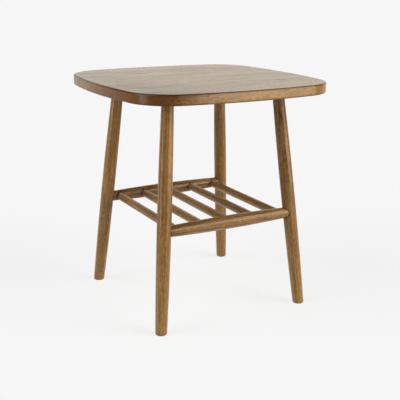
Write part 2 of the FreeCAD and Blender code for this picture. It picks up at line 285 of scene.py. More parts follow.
def plan(sizes):
    """How far past the middle the long arcs' centres lie, where the corner arcs' do, and where arcs join.

    A corner's centre is (centre, centre), as far from a long arc's as the radii differ. The two arcs join on
    the line through both centres, and the angle given is that line's.
    """
    inset = sizes.side_radius - sizes.top_width / 2
    reach = sizes.side_radius - sizes.corner_radius
    centre = (math.sqrt(2 * reach**2 - inset**2) - inset) / 2
    return inset, centre, math.atan2(centre, centre + inset)


def inside_of(place, sizes):
    """How far points lie inside the outline of the top, and the outward normal of the outline there.

    In each quarter the outline is two long arcs and a corner arc between them, so the distance is the arc's
    radius less the distance from its centre.
    """
    inset, centre, joint = plan(sizes)
    x, y = np.abs(place[..., 0]), np.abs(place[..., 1])
    angle = np.arctan2(y - centre, x - centre)
    corner = (angle > joint) & (angle < math.pi / 2 - joint) & (x + y > 2 * centre)
    wide = ~corner & (x > y)
    dx = np.where(corner, x - centre, np.where(wide, x + inset, x))
    dy = np.where(corner, y - centre, np.where(wide, y, y + inset))
    radius = np.hypot(dx, dy)
    inside = np.where(corner, sizes.corner_radius, sizes.side_radius) - radius
    return inside, dx / radius * np.sign(place[..., 0]), dy / radius * np.sign(place[..., 1])


def half_length(y, inward, sizes):
    """Half the top's length at this place across it, with its outline moved inwards by this much.

    It is the root of the arc's radius squared less the distance from its centre squared, out from the centre.
    """
    inset, centre, joint = plan(sizes)
    long_radius, corner_radius = sizes.side_radius - inward, sizes.corner_radius - inward
    y = np.abs(y)
    on_side = np.sqrt(long_radius**2 - y**2) - inset
    on_corner = centre + np.sqrt(np.maximum(corner_radius**2 - (y - centre) ** 2, 0))
    return np.where(y > long_radius * math.sin(joint), on_corner, on_side)


def edge_profile(sizes):
    """The edge of the top from its face down to its underside, as inward and height.

    It is a quarter round, an upright band and a smaller quarter round.
    """
    turn = np.linspace(0, math.pi / 2, 9)
    top, bottom = sizes.table_height, sizes.table_height - sizes.top_thick
    upper, lower = sizes.upper_round, sizes.lower_round
    band = np.linspace(top - upper, bottom + lower, 8)[1:-1]
    inward = [upper * (1 - np.sin(turn)), 0 * band, lower * (1 - np.cos(turn))]
    height = [top - upper * (1 - np.cos(turn)), band, bottom + lower * (1 - np.sin(turn))]
    return np.concatenate(inward), np.concatenate(height)


def board_values(place, sizes, middle, log, tones_and_painted_light):
    """The attributes of a board: where it was sawn, end grain, how near the softened edges, and its tone.

    End grain is how far an edge is rounded over times the share of its normal that lies along the grain. The
    tones lie at even steps from the left end to the right, and it goes evenly from each to the next.
    """
    inside, nx, ny = inside_of(place, sizes)
    top, bottom = sizes.table_height, sizes.table_height - sizes.top_thick
    upper, lower = sizes.upper_round, sizes.lower_round
    rounding = np.where(place[..., 2] > (top + bottom) / 2, upper, lower)
    sideways = np.clip((rounding - inside) / rounding, 0, 1)
    deep, shallow = ARRIS_DEPTH * upper, ARRIS_DEPTH * lower
    over = np.hypot(inside - deep, place[..., 2] - top + deep)
    under = np.hypot(inside - shallow, place[..., 2] - bottom - shallow)
    arris = near(np.minimum(over - deep, under - shallow), ARRIS_REACH)
    grain, side = np.array([1.0, 0, 0]), np.array([0, 1.0, 0])
    half = sizes.top_width / 2
    return {
        "place": place,
        "timber": sawn(place, middle, grain, side, log),
        "end_grain": sideways * np.abs(nx),
        "arris": arris,
        "joint": np.zeros(place.shape[:-1]),
        "tone_and_painted_light": np.interp(place[..., 0], np.linspace(-half, half, len(tones_and_painted_light)), tones_and_painted_light),
    }


def through_board(sizes, low, high):
    """A board with both ends on the bowed sides, from y = low to high.

    Its skin is a tube along X round the section, whose points lie at a share of the half length that the
    outline leaves at their place across and height, and two ends over place across by height at the full
    half length.
    """
    inward, height = edge_profile(sizes)
    across = np.linspace(low, high, 17)
    flat = np.ones_like(across)
    section = (
        (across, inward[0] * flat, height[0] * flat),
        (high + 0 * inward, inward, height),
        (across[::-1], inward[-1] * flat, height[-1] * flat),
        (low + 0 * inward, inward[::-1], height[::-1]),
    )
    y, inner, z = (np.concatenate(part) for part in zip(*section))
    near_rim = 1 - RIM_STEPS / (sizes.top_width / 2)
    even = np.linspace(-EVEN_SHARE, EVEN_SHARE, BOARD_ROWS)
    share = np.concatenate([-near_rim, even, near_rim[::-1]])[:, None]
    x = share * half_length(y, inner, sizes)
    tube = np.stack([x, y + 0 * x, z + 0 * x], axis=-1)
    reach = half_length(across[None, :], inward[:, None], sizes)
    left, right = (
        np.stack([way * reach, across + 0 * reach, height[:, None] + 0 * reach], axis=-1) for way in (-1, 1)
    )
    return [tube, left[::-1], right]


def edge_board(sizes, seam, way):
    """The board along the front (way -1) or the rear (way 1), out from its one seam.

    The outline is followed from one end of the seam round both corners to its other end. At each step a loop
    goes from the seam across the face, down the edge profile, back across the underside and up the seam. It
    closes to the upright edge of the board at both ends.
    """
    inset, centre, joint = plan(sizes)
    inward, height = edge_profile(sizes)

    def outline(inner):
        corner_radius, long_radius = sizes.corner_radius - inner, sizes.side_radius - inner
        first = np.arcsin((abs(seam) - centre) / corner_radius)
        share = np.linspace(0, 1, CORNER_ROWS)
        corner = first + (math.pi / 2 - joint - first) * share
        long = np.linspace(math.pi / 2 - joint, math.pi / 2, SIDE_ROWS)[1:]
        x = np.concatenate([centre + corner_radius * np.cos(corner), long_radius * np.cos(long)])
        y = np.concatenate([centre + corner_radius * np.sin(corner), long_radius * np.sin(long) - inset])
        return np.concatenate([x, -x[-2::-1]]), way * np.concatenate([y, y[-2::-1]])

    rims = [outline(inner) for inner in inward]
    x = np.stack([rim[0] for rim in rims])
    y = np.stack([rim[1] for rim in rims])

    def face(level):
        spread_y = seam + (y[level] - seam) * TO_RIM[:, None]
        return x[level] + 0 * spread_y, spread_y, height[level] + 0 * spread_y

    edge = (x, y, height[:, None] + 0 * x)
    back = (x[::-1], seam + 0 * x, height[::-1, None] + 0 * x)
    underside = tuple(part[::-1] for part in face(-1))
    loop = [np.concatenate(part) for part in zip(face(0), edge, underside, back)]
    return [np.stack(loop, axis=-1)]


# How each board lay in its log: see sawn(), then its tones from its left end to its right, paler above 0. The
# pith is off to one side in most of them, so their faces show long straight rings, and under the middle of
# three, which show pointed arches. The first board's tones also paint shade at the front left corner and a
# highlight along the front edge to the right of it.
BOARDS = (
    ((10, 64, 0.25, 0.12, 0), (-0.2, -0.52, -0.15, 0.04, 0.16, 0.22, 0.22, 0.25, 0.25, 0.24, 0.2)),
    ((-14, 52, -0.4, 1.1, 900), (0.0, -0.3, -0.2, -0.1, 0.0, 0.06, 0.1, 0.04, 0.05, 0.02, -0.02)),
    ((70, 60, 0.3, -0.5, 1800), (0.05, -0.08, 0.0, 0.06, 0.14, 0.18, 0.19, 0.12, 0.1, 0.12, 0.16)),
    ((-110, 25, -0.6, 0.2, 2700), (0.12, -0.12, 0.0, 0.08, 0.14, 0.16, 0.12, 0.12, 0.14, 0.16, 0.18)),
    ((88, 45, 0.4, 0.5, 3600), (0.15, -0.02, 0.06, 0.18, 0.26, 0.24, 0.12, 0.08, 0.1, 0.12, 0.12)),
    ((18, 47, 0.2, -1.2, 4500), (0.08, -0.06, 0.05, 0.1, 0.14, 0.1, 0.05, 0.04, 0.1, 0.1, 0.0)),
    ((-75, 58, -0.5, 0.4, 5400), (0.1, 0.05, 0.12, 0.18, 0.2, 0.2, 0.22, 0.24, 0.28, 0.32, 0.3)),
)


# ---- turned pieces

ROUND = 97  # points round a leg or a rail, the last on the first
DOWEL_ROUND = 65  # and round a dowel
# How far out the dark colour at a joint, gathered stain with painted shade, shows: from a hole, from a coped
# shoulder, and along a dowel.
HOLE_REACH, SHOULDER_REACH, DOWEL_REACH = 0.0016, 0.0012, 0.0014
RAIL_EDGE = 0.011  # about the radius of a rail where it meets a leg
SHOULDER = 0.02  # about how far in from the tip of its tenon that is
SIDE_END = 0.0185  # how far in the rows of its side end, before they are drawn out to meet the leg
NUDGE = 1e-5  # the step that gives a slope
UP_STEP = 0.001  # the way up a leg's side from its rim is taken to a point this high
FOOT_ROWS = 0.004  # the joint's dark colour round a dowel, stain and painted shade, shows this far along the rail's curve
INTO_RAIL = 0.003  # the stain round a dowel shows this far along the rail's curve
STILL_LONG = 0.15  # the grain still counts as long where the skin turns by no more than this
NO_AREA = 1e-12  # where the skin has less than this, it counts as end grain
CROSSWISE = (0.3, 0.2, 0.9)  # a direction that none of the pieces runs in


def leg_axis(sizes, side_x, side_y):
    """The foot of a leg's axis, its direction, and its length up to the underside of the top."""
    under_top = sizes.table_height - sizes.top_thick
    foot = np.array([side_x * sizes.foot_x, side_y * sizes.foot_y, 0])
    head = np.array([side_x * sizes.leg_top_x, side_y * sizes.leg_top_y, under_top])
    long = np.linalg.norm(head - foot)
    return foot, (head - foot) / long, long


def leg_radius(along, long, sizes):
    """Radius of a leg: a barrel that runs past both cut ends by the spare."""
    return swell(along, -sizes.spare, long + sizes.spare, sizes.leg_end_dia, sizes.leg_mid_dia)


def on_leg(sizes, axis, outward, z):
    """The points of a leg's side in the directions outward and at the heights z.

    A point is the axis at some length along it plus the radius there square to it, and the length follows
    from the height in a few rounds, because the radius hardly changes.
    """
    foot, way, long = axis
    along = z / way[2]
    for _ in range(6):
        along = (z - leg_radius(along, long, sizes) * outward[..., 2]) / way[2]
    return foot + way * along[..., None] + outward * leg_radius(along, long, sizes)[..., None]


def unit(vectors):
    """Vectors of length 1 the same way: each over its own length."""
    return vectors / np.linalg.norm(vectors, axis=-1, keepdims=True)


def leg_surface(sizes, side_x, side_y):
    """A leg from the middle of its sole, up its side and over its tenon: rows up the leg by angle round it.

    The rounding of the sole is an arc in the plane of the side's line and the inward normal of the rim, which
    touches both. The shoulder is level, and the tenon a cylinder on the leg's axis.
    """
    axis = foot, way, long = leg_axis(sizes, side_x, side_y)
    angle = np.linspace(0, 2 * math.pi, ROUND)
    level = np.stack([np.cos(angle), np.sin(angle), 0 * angle], axis=-1)
    outward = unit(level - (level @ way)[:, None] * way)
    under_top = sizes.table_height - sizes.top_thick

    rim = on_leg(sizes, axis, outward, 0 * angle)
    up = unit(on_leg(sizes, axis, outward, 0 * angle + UP_STEP) - rim)
    along_rim = np.gradient(rim[:-1], axis=0)
    along_rim[0] = along_rim[-1] = rim[1] - rim[-2]
    along_rim = np.concatenate([along_rim, along_rim[:1]])
    inward = unit(np.stack([-along_rim[:, 1], along_rim[:, 0], 0 * angle], axis=-1))
    half = np.arccos(np.clip((up * inward).sum(1), -1, 1))[:, None] / 2
    touch = sizes.foot_round / np.tan(half)
    arc_centre = rim + unit(up + inward) * sizes.foot_round / np.sin(half)
    from_floor = unit(rim + inward * touch - arc_centre)
    to_side = unit(rim + up * touch - arc_centre)
    swept = np.pi - 2 * half
    share = np.linspace(0, 1, 9)[:, None, None]
    spokes = np.sin(swept * (1 - share)) * from_floor + np.sin(swept * share) * to_side
    arc = arc_centre + sizes.foot_round * spokes / np.sin(swept)
    sole_middle = arc[0, :-1].mean(0)
    sole = sole_middle + (arc[0] - sole_middle) * np.array([0, 0.5, 0.9])[:, None, None]

    first = arc[-1, :, 2]
    dense = (sizes.rail_height - RAIL_EDGE, sizes.rail_height + RAIL_EDGE)
    steps = spread(FOOT_ROWS, under_top, LEG_ROWS, dense)
    share = ((steps - steps[0]) / (steps[-1] - steps[0]))[1:, None]
    heights = first + (under_top - first) * share
    side = on_leg(sizes, axis, np.broadcast_to(outward, (*heights.shape, 3)), heights)

    tenon = sizes.leg_tenon_dia / 2
    base_along = (under_top - tenon * outward[:, 2]) / way[2]
    base = foot + way * base_along[:, None] + outward * tenon
    tip_along = long + sizes.leg_tenon_long
    tip = foot + way * (tip_along - sizes.tip_chamfer) + outward * tenon
    end = foot + way * tip_along + outward * (tenon - sizes.tip_chamfer)
    close = foot + way * tip_along + 0 * outward
    shoulder = (side[-1] + base) / 2
    place = np.concatenate([sole, arc, side, np.stack([shoulder, base, tip, end, close])])

    # Where the rail meets the leg, on the side facing it, the joint colour paints shade along with gathered
    # stain.
    from_axis = np.hypot(place[..., 1] - side_y * rail_line(sizes), place[..., 2] - sizes.rail_height)
    to_rail = from_axis - rail_radius(place[..., 0], sizes)
    axis_x = (foot + way * (place[..., 2:] / way[2]))[..., 0]
    faces_rail = side_x * (axis_x - place[..., 0]) > 0
    joint = np.where(faces_rail, near(to_rail, HOLE_REACH), 0)
    return place, joint, (foot + way * long / 2, way)


def rail_share(sizes):
    """How far down the legs the rails are, as a share of the way from the underside of the top."""
    under_top = sizes.table_height - sizes.top_thick
    return (under_top - sizes.rail_height) / under_top


def rail_reach(sizes):
    """How far from the middle of the table a rail's tenon ends: past the leg's axis there by its reach."""
    return sizes.leg_top_x + (sizes.foot_x - sizes.leg_top_x) * rail_share(sizes) + sizes.rail_tenon_past


def rail_line(sizes):
    """How far the rails' axes lie from the middle of the table: as far as the legs' at their height."""
    return sizes.leg_top_y + (sizes.foot_y - sizes.leg_top_y) * rail_share(sizes)


def rail_radius(x, sizes):
    """Radius of a rail: a barrel from the tip of one tenon to that of the other."""
    reach = rail_reach(sizes)
    x = np.clip(np.abs(x), 0, reach)
    return swell(x, -reach, reach, sizes.rail_end_dia, sizes.rail_mid_dia)


def to_leg(sizes, way_y, x, radius, angle):
    """How far points of a rail's right half are outside its leg: away from the axis, less the radius."""
    foot, way, long = leg_axis(sizes, 1, way_y)
    y = way_y * rail_line(sizes) + radius * np.cos(angle)
    z = sizes.rail_height + radius * np.sin(angle)
    local = np.stack(np.broadcast_arrays(x, y, z), axis=-1) - foot
    along = local @ way
    return np.linalg.norm(local - along[..., None] * way, axis=-1) - leg_radius(along, long, sizes)


def coped(sizes, way_y, radius_at, angle):
    """Where a line of a rail, at its angle round the rail, meets the leg: Newton's rule on to_leg."""
    x = rail_reach(sizes) - SHOULDER + 0 * angle
    for _ in range(12):
        here = to_leg(sizes, way_y, x, radius_at(x), angle)
        ahead = to_leg(sizes, way_y, x + NUDGE, radius_at(x + NUDGE), angle)
        x = x - here * NUDGE / (ahead - here)
    return x


def rail_surface(sizes, way_y):
    """A rail from the tip of one tenon to the other: rows along X by angle round it.

    Its side ends where each line of it meets the leg, the coped shoulder follows the leg's surface inwards,
    and the tenon is a cylinder. The left half mirrors the right one.
    """
    angle = np.linspace(0, 2 * math.pi, ROUND)
    tenon = sizes.rail_tenon_dia / 2
    reach = rail_reach(sizes)
    pitch = sizes.dowel_pitch
    bores = np.arange(sizes.dowel_count // 2 + 1) * pitch
    bores = np.concatenate([bores - sizes.dowel_dia / 2, bores + sizes.dowel_dia / 2])
    meets = coped(sizes, way_y, lambda x: rail_radius(x, sizes), angle)
    steps = spread(0, reach - SIDE_END, RAIL_ROWS, dense=(*bores, reach - SHOULDER))
    side_x = meets * (steps / steps[-1])[:, None]
    rows = [(side_x, rail_radius(side_x, sizes))]
    for share in (0.5, 0):
        radius = tenon + (rail_radius(meets, sizes) - tenon) * share
        x = coped(sizes, way_y, lambda _: radius, angle)
        rows.append((x[None], radius[None]))
    for x, radius in ((reach - sizes.tip_chamfer, tenon), (reach, tenon - sizes.tip_chamfer), (reach, 0)):
        rows.append((np.full((1, len(angle)), x), np.full((1, len(angle)), radius)))
    x = np.concatenate([row[0] for row in rows])
    radius = np.concatenate([row[1] for row in rows])
    x = np.concatenate([-x[:0:-1], x])
    radius = np.concatenate([radius[:0:-1], radius])
    y = way_y * rail_line(sizes) + radius * np.cos(angle)
    z = sizes.rail_height + radius * np.sin(angle)
    place = np.stack([x, y, z], axis=-1)

    # Round the dowel holes on the inner side and at the coped shoulders, the joint colour paints shade along
    # with gathered stain.
    count = sizes.dowel_count
    dowels = (np.arange(count) - (count - 1) / 2) * pitch
    to_dowel = np.hypot(x[..., None] - dowels, z[..., None] - sizes.rail_height).min(-1) - sizes.dowel_dia / 2
    inner = way_y * (y - way_y * rail_line(sizes)) < 0
    to_shoulder = np.abs(np.abs(x) - meets)
    at_hole = np.where(inner, near(to_dowel, HOLE_REACH), 0)
    joint = np.maximum(at_hole, near(to_shoulder, SHOULDER_REACH))
    middle = np.array([0, way_y * rail_line(sizes), sizes.rail_height])
    return place, joint, (middle, np.array([1.0, 0, 0]))


def dowel_surface(sizes, x):
    """A straight dowel along Y with chamfered ends inside the rails: rows along Y by angle round it."""
    angle = np.linspace(0, 2 * math.pi, DOWEL_ROUND)
    end = rail_line(sizes) - sizes.dowel_short
    meets = rail_line(sizes) - float(rail_radius(x, sizes)) + INTO_RAIL
    steps = spread(-end + sizes.tip_chamfer, end - sizes.tip_chamfer, DOWEL_ROWS, dense=(-meets, meets))
    full = sizes.dowel_dia / 2
    y = np.concatenate([[-end, -end], steps, [end, end]])
    radius = np.full(len(y), full)
    radius[[0, -1]] = 0
    radius[[1, -2]] = full - sizes.tip_chamfer
    sideways, upward = radius[:, None] * np.sin(angle), radius[:, None] * np.cos(angle)
    place = np.stack([x + sideways, y[:, None] + 0 * angle, sizes.rail_height + upward], axis=-1)
    # Where the dowel enters a rail, the joint colour paints shade along with gathered stain.
    across = np.hypot(np.abs(place[..., 1]) - rail_line(sizes), place[..., 2] - sizes.rail_height)
    joint = near(across - rail_radius(place[..., 0], sizes), DOWEL_REACH)
    middle = np.array([x, 0, sizes.rail_height])
    return place, joint, (middle, np.array([0, 1.0, 0]))


# How each turned piece lay in its log: see sawn(), then its tones, paler above 0. A leg's start at its foot,
# a rail's at its left end, and a dowel's at its front. The legs' tones also paint light and shade: paler
# towards the foot and darker up under the top. The rails' tones paint shade on them.
LEGS = {
    ("front", "left"): ((34, 22, 0.9, 0.5, 0), (0.17, 0.1, -0.05, 0.12, -0.07)),
    ("front", "right"): ((-28, 40, -0.6, 0.9, 700), (0.3, 0.17, -0.07, -0.16, -0.32)),
    ("rear", "left"): ((45, -20, 0.5, -0.8, 1400), (0.11, 0.01, 0.12, 0.0, 0.0)),
    ("rear", "right"): ((-38, -33, -0.8, 0.4, 2100), (0.22, 0.1, 0.0, -0.08, -0.08)),
}
RAILS = {
    "front": ((26, 35, 0.7, 0.6, 300), (-0.24, -0.1, 0.05)),
    "rear": ((-40, 28, -0.5, 0.8, 1100), (0.0, -0.15, -0.2, -0.1)),
}
DOWELS = (
    ((30, 30, 0.6, 0.4, 150), (-0.1, -0.06)),
    ((-44, 18, -0.5, 0.7, 850), (0.12, 0.0)),
    ((22, -37, 0.8, -0.3, 1550), (-0.02, 0.14)),
    ((-29, -30, 0.3, 0.6, 2250), (-0.08, 0.06)),
    ((41, 12, -0.7, 0.5, 2950), (0.0, 0.0)),
)


def turned_values(surface, log, tones_and_painted_light):
    """The attributes of a turned piece. End grain is where its skin turns square to the grain.

    The tones lie at even steps from its one end to the other, and it goes evenly from each to the next.
    """
    place, joint, (middle, grain) = surface
    along = (place - middle) @ grain
    side = unit(np.cross(grain, CROSSWISE))
    round_it = np.gradient(place, axis=1)
    round_it[:, [0, -1]] = (place[:, 1] - place[:, -2])[:, None] / 2
    normal = np.cross(round_it, np.gradient(place, axis=0))
    size = np.linalg.norm(normal, axis=-1)
    end_grain = np.where(size > NO_AREA, np.abs(normal @ grain) / np.maximum(size, NO_AREA), 1)
    return {
        "place": place,
        "timber": sawn(place, middle, grain, side, log),
        "end_grain": np.clip((end_grain - STILL_LONG) / (1 - STILL_LONG), 0, 1),
        "arris": np.zeros(place.shape[:-1]),
        "joint": joint,
        "tone_and_painted_light": np.interp(along, np.linspace(along.min(), along.max(), len(tones_and_painted_light)), tones_and_painted_light),
    }


# ---- finishes

SMOOTH = {"interpolation_type": "SMOOTHSTEP"}  # how every ramp goes from its start to its end


def node(tree, kind, inputs=(), output=0, **settings):
    """Adds a node and gives back one of its outputs.

    inputs gives each named or numbered socket a value, or the output that feeds it, and settings are the
    node's own properties. A mix of colours has its two colours at 6 and 7 and gives its own at 2. A ramp goes
    from the value at 3 to the one at 4 while what is at 0 goes from 1 to 2.
    """
    made = tree.nodes.new(kind)
    for name, value in settings.items():
        setattr(made, name, value)
    for socket, value in dict(inputs).items():
        if isinstance(value, bpy.types.NodeSocket):
            tree.links.new(value, made.inputs[socket])
        else:
            made.inputs[socket].default_value = value
    return made.outputs[output] if made.outputs else None


def emptied(owner):
    """Empties the node tree of a material or a world, and gives back what adds nodes to it."""
    owner.use_nodes = True
    owner.node_tree.nodes.clear()
    return partial(node, owner.node_tree)


def summed(add, total, shares):
    """The total plus each pattern times its share, kept between 0 and 1."""
    for pattern, share in shares:
        total = add("ShaderNodeMath", {0: pattern, 1: share, 2: total}, operation="MULTIPLY_ADD")
    return add("ShaderNodeClamp", {"Value": total})


def stained_timber(name, finish):
    """Rubberwood, turned or planed and sanded, stained walnut brown and sprayed with satin lacquer.

    The eye sees fine streaks along the grain, faint growth rings, short dark dashes where stain has filled
    the pores, and slow drifts of tone. End grain drinks more stain. The colour is darker along the rounded
    edges of the top, and where parts meet it is darker with gathered stain and painted shade. The tones of
    some pieces paint light and shade too. The lacquer lies smooth over all of it with a satin sheen.

    Every pattern reads the "timber" attribute, a place in the log in millimetres, so a factor of 1 / 60 below
    is a length of 60 mm along the grain.
    """
    material = bpy.data.materials.new(name)
    add = emptied(material)
    timber = add("ShaderNodeAttribute", output="Vector", attribute_name="timber")
    end_grain, arris, joint, tone_and_painted_light = (
        add("ShaderNodeAttribute", output="Fac", attribute_name=name)
        for name in ("end_grain", "arris", "joint", "tone_and_painted_light")
    )

    # The fibres wander by a few millimetres over a length of about 300, and all that follows them does too.
    place = add("ShaderNodeVectorMath", {0: timber, 1: (1 / 400, 1 / 60, 1 / 60)}, operation="MULTIPLY")
    drift = add("ShaderNodeTexNoise", {"Vector": place, "Scale": 1.0, "Detail": 2.0}, output="Color")
    drift = add("ShaderNodeVectorMath", {0: drift, 1: (-0.5, -0.5, -0.5)}, operation="ADD")
    grain = add("ShaderNodeVectorMath", {0: drift, 1: (0, 6, 6), 2: timber}, operation="MULTIPLY_ADD")

    # Growth rings round the pith, uneven in width. Each starts with open wood, which fades over its first
    # half, and ends with a thin dense line.
    across = add("ShaderNodeVectorMath", {0: grain, 1: (0, 1, 1)}, operation="MULTIPLY")
    radius = add("ShaderNodeVectorMath", {0: across}, output="Value", operation="LENGTH")
    place = add("ShaderNodeVectorMath", {0: grain, 1: (1 / 900, 1 / 16, 1 / 16)}, operation="MULTIPLY")
    uneven = add("ShaderNodeTexNoise", {"Vector": place, "Scale": 1.0, "Detail": 1.0})
    uneven = add("ShaderNodeMath", {0: uneven, 1: 1.8}, operation="MULTIPLY")
    rings = add("ShaderNodeMath", {0: radius, 1: 1 / finish.ring_width, 2: uneven}, operation="MULTIPLY_ADD")
    year = add("ShaderNodeMath", {0: rings}, operation="FRACT")
    steps = {0: year, 1: 0.05, 2: 0.6, 3: 1.0, 4: 0.0}
    open_wood = add("ShaderNodeMapRange", steps, **SMOOTH)
    steps = {0: year, 1: 0.8, 2: 1.0, 3: 0.0, 4: 1.0}
    dense = add("ShaderNodeMapRange", steps, **SMOOTH)
    ring = add("ShaderNodeMath", {0: open_wood, 1: dense}, operation="MAXIMUM")

    # Streaks along the fibres, 2 mm wide and some 90 long.
    place = add("ShaderNodeVectorMath", {0: grain, 1: (1 / 90, 1 / 2, 1 / 2)}, operation="MULTIPLY")
    streaks = add("ShaderNodeTexNoise", {"Vector": place, "Scale": 1.0, "Detail": 4.0, "Roughness": 0.7})
    # Flecks of 2 by 8 mm: the pores lie in loose groups of about that size.
    place = add("ShaderNodeVectorMath", {0: grain, 1: (1 / 8, 1 / 2, 1 / 2)}, operation="MULTIPLY")
    flecks = add("ShaderNodeTexNoise", {"Vector": place, "Scale": 1.0, "Detail": 2.0, "Roughness": 0.7})
    # Pores: dashes about 0.4 mm wide and 6 long, a little wider than real ones so that they show at all.
    place = add("ShaderNodeVectorMath", {0: grain, 1: (1 / 7, 1.3, 1.3)}, operation="MULTIPLY")
    pores = add("ShaderNodeTexVoronoi", {"Vector": place, "Scale": 1.0}, output="Distance")
    steps = {0: pores, 1: 0.16, 2: 0.32, 3: 1.0, 4: 0.0}
    pores = add("ShaderNodeMapRange", steps, **SMOOTH)
    more = add("ShaderNodeMath", {0: open_wood, 1: 0.6, 2: 0.4}, operation="MULTIPLY_ADD")
    pores = add("ShaderNodeMath", {0: pores, 1: more}, operation="MULTIPLY")
    # Stain drifts over 25 mm across the grain and 150 along it.
    place = add("ShaderNodeVectorMath", {0: timber, 1: (1 / 150, 1 / 25, 1 / 25)}, operation="MULTIPLY")
    drifts = add("ShaderNodeTexNoise", {"Vector": place, "Scale": 1.0, "Detail": 2.0})

    # How deep the stain is, from the pale wood at 0 to the deep wood at 1. A noise has its middle at 0.5.
    # The tone attribute holds painted light and shade as well as tone that differs from piece to piece.
    shares = ((ring, 0.25), (streaks, 1.8), (flecks, 1.5), (drifts, 0.5), (tone_and_painted_light, -1.0), (end_grain, 0.1))
    stain = summed(add, -1.48, shares)
    wood = {"Factor": stain, 6: (*finish.pale, 1), 7: (*finish.deep, 1)}
    wood = add("ShaderNodeMix", wood, output=2, data_type="RGBA")
    # Over it lies what the end grain and the pores have taken up, a darker colour along the rounded edges,
    # and at the joints gathered stain with painted shade.
    layers = ((end_grain, 0.5, finish.end), (pores, 0.55, finish.pore))
    layers += ((arris, 0.65, finish.pore), (joint, 0.75, finish.joint))
    for pattern, most, shade in layers:
        cover = add("ShaderNodeMath", {0: pattern, 1: most}, operation="MULTIPLY")
        layer = {"Factor": cover, 6: wood, 7: (*shade, 1)}
        wood = add("ShaderNodeMix", layer, output=2, data_type="RGBA")

    # The lacquer sinks a little into the pores, the end grain and the open wood, which take the most stain,
    # and is duller there. The gloss setting is for an even mix of all of them.
    shares = ((end_grain, 0.03), (stain, 0.06), (streaks, 0.05))
    shares += ((flecks, 0.05), (drifts, 0.13), (pores, 0.12))
    dull = summed(add, finish.gloss - 0.142, shares)
    relief = add("ShaderNodeMath", {0: streaks, 1: 0.5}, operation="MULTIPLY")
    relief = add("ShaderNodeMath", {0: pores, 1: -0.6, 2: relief}, operation="MULTIPLY_ADD")
    bumped = add("ShaderNodeBump", {"Height": relief, "Strength": 0.25, "Distance": 0.0001})
    lacquered = {"Base Color": wood, "Roughness": dull, "Normal": bumped, "IOR": 1.4}
    lacquered = add("ShaderNodeBsdfPrincipled", lacquered)
    add("ShaderNodeOutputMaterial", {"Surface": lacquered})
    return material


def timber_material():
    """The one stained finish that all the wood shares."""
    name = "walnut_stained_rubberwood_satin_lacquer"
    return bpy.data.materials.get(name) or stained_timber(name, bpy.context.scene.table_finish)


# ---- operators


class MakeTop(bpy.types.Operator):
    """Make the boards of the top"""

    bl_idname = "end_table.make_top"
    bl_label = "Make the top"

    def execute(self, context):
        sizes = context.scene.table_sizes
        width = sizes.top_width / sizes.board_count
        for index in range(sizes.board_count):
            log, tones_and_painted_light = BOARDS[index % len(BOARDS)]
            low = index * width - sizes.top_width / 2
            high = low + width
            if index == 0:
                grids = edge_board(sizes, high, -1)
            elif index == sizes.board_count - 1:
                grids = edge_board(sizes, low, 1)
            else:
                grids = through_board(sizes, low, high)
            middle = np.array([0, (low + high) / 2, sizes.table_height - sizes.top_thick / 2])
            values = [board_values(grid, sizes, middle, log, tones_and_painted_light) for grid in grids]
            skin(f"top_board_{index + 1}", values)
        return {"FINISHED"}


class MakeLegs(bpy.types.Operator):
    """Make the four splayed turned legs"""

    bl_idname = "end_table.make_legs"
    bl_label = "Make the legs"

    def execute(self, context):
        sizes = context.scene.table_sizes
        for (row, column), (log, tones_and_painted_light) in LEGS.items():
            side_x = 1 if column == "right" else -1
            side_y = 1 if row == "rear" else -1
            values = turned_values(leg_surface(sizes, side_x, side_y), log, tones_and_painted_light)
            skin(f"leg_{row}_{column}", [values])
        return {"FINISHED"}


class MakeRails(bpy.types.Operator):
    """Make the two rails with their coped ends"""

    bl_idname = "end_table.make_rails"
    bl_label = "Make the rails"

    def execute(self, context):
        sizes = context.scene.table_sizes
        for row, (log, tones_and_painted_light) in RAILS.items():
            values = turned_values(rail_surface(sizes, 1 if row == "rear" else -1), log, tones_and_painted_light)
            skin(f"rail_{row}", [values])
        return {"FINISHED"}


class MakeDowels(bpy.types.Operator):
    """Make the dowels of the shelf"""

    bl_idname = "end_table.make_dowels"
    bl_label = "Make the dowels"

    def execute(self, context):
        sizes = context.scene.table_sizes
        for index in range(sizes.dowel_count):
            log, tones_and_painted_light = DOWELS[index % len(DOWELS)]
            x = (index - (sizes.dowel_count - 1) / 2) * sizes.dowel_pitch
            values = turned_values(dowel_surface(sizes, x), log, tones_and_painted_light)
            skin(f"shelf_dowel_{index + 1}", [values])
        return {"FINISHED"}


# ---- studio

BACKDROP = (0.5, 0.866, -0.6)  # where the lit backdrop stands, and how fast it fades with height
BACKDROP_RISE = (0.2, 0.7)  # how far a direction points its way where its light starts, and where it is full
# Each lamp is a broad soft light far away: its name, where it stands round the table in degrees from +X,
# how high, how wide it looks, and its strength.
LAMPS = (
    ("right_low", -53, 1, 48, 2.45),
    ("right_high", -43, 26, 48, 1.85),
    ("left_low", 177, 3, 28, 0.9),
    ("left_high", 172, 30, 60, 1.8),
)
LAMP_DISTANCE = 3  # any distance does for a sun lamp
LAMP_RIM = 0.01  # how softly a mirrored lamp ends, in radians
# A black flag hides the lamps from the gloss in a band above the horizon, which the level top would mirror to
# a low view: where it starts, hides all, stops hiding all and ends, as the upward share of a direction.
FLAG = (0.0, 0.05, 0.21, 0.31)

CAMERA_PLACE = (-0.839, -1.528, 0.7375)
CAMERA_HEADING = 29.13  # degrees clockwise from +Y
CAMERA_PITCH, CAMERA_ROLL = -16.10, 0.42  # degrees up, and anticlockwise


class MakeStudio(bpy.types.Operator):
    """Make the floor, the lights and the camera"""

    bl_idname = "end_table.make_studio"
    bl_label = "Make the studio"

    def execute(self, context):
        studio = context.scene.table_studio
        make_floor(studio)
        for name, round_it, up, wide, strength in LAMPS:
            make_lamp(name, round_it, up, wide, strength)
        make_world(studio)
        make_camera(studio)
        return {"FINISHED"}


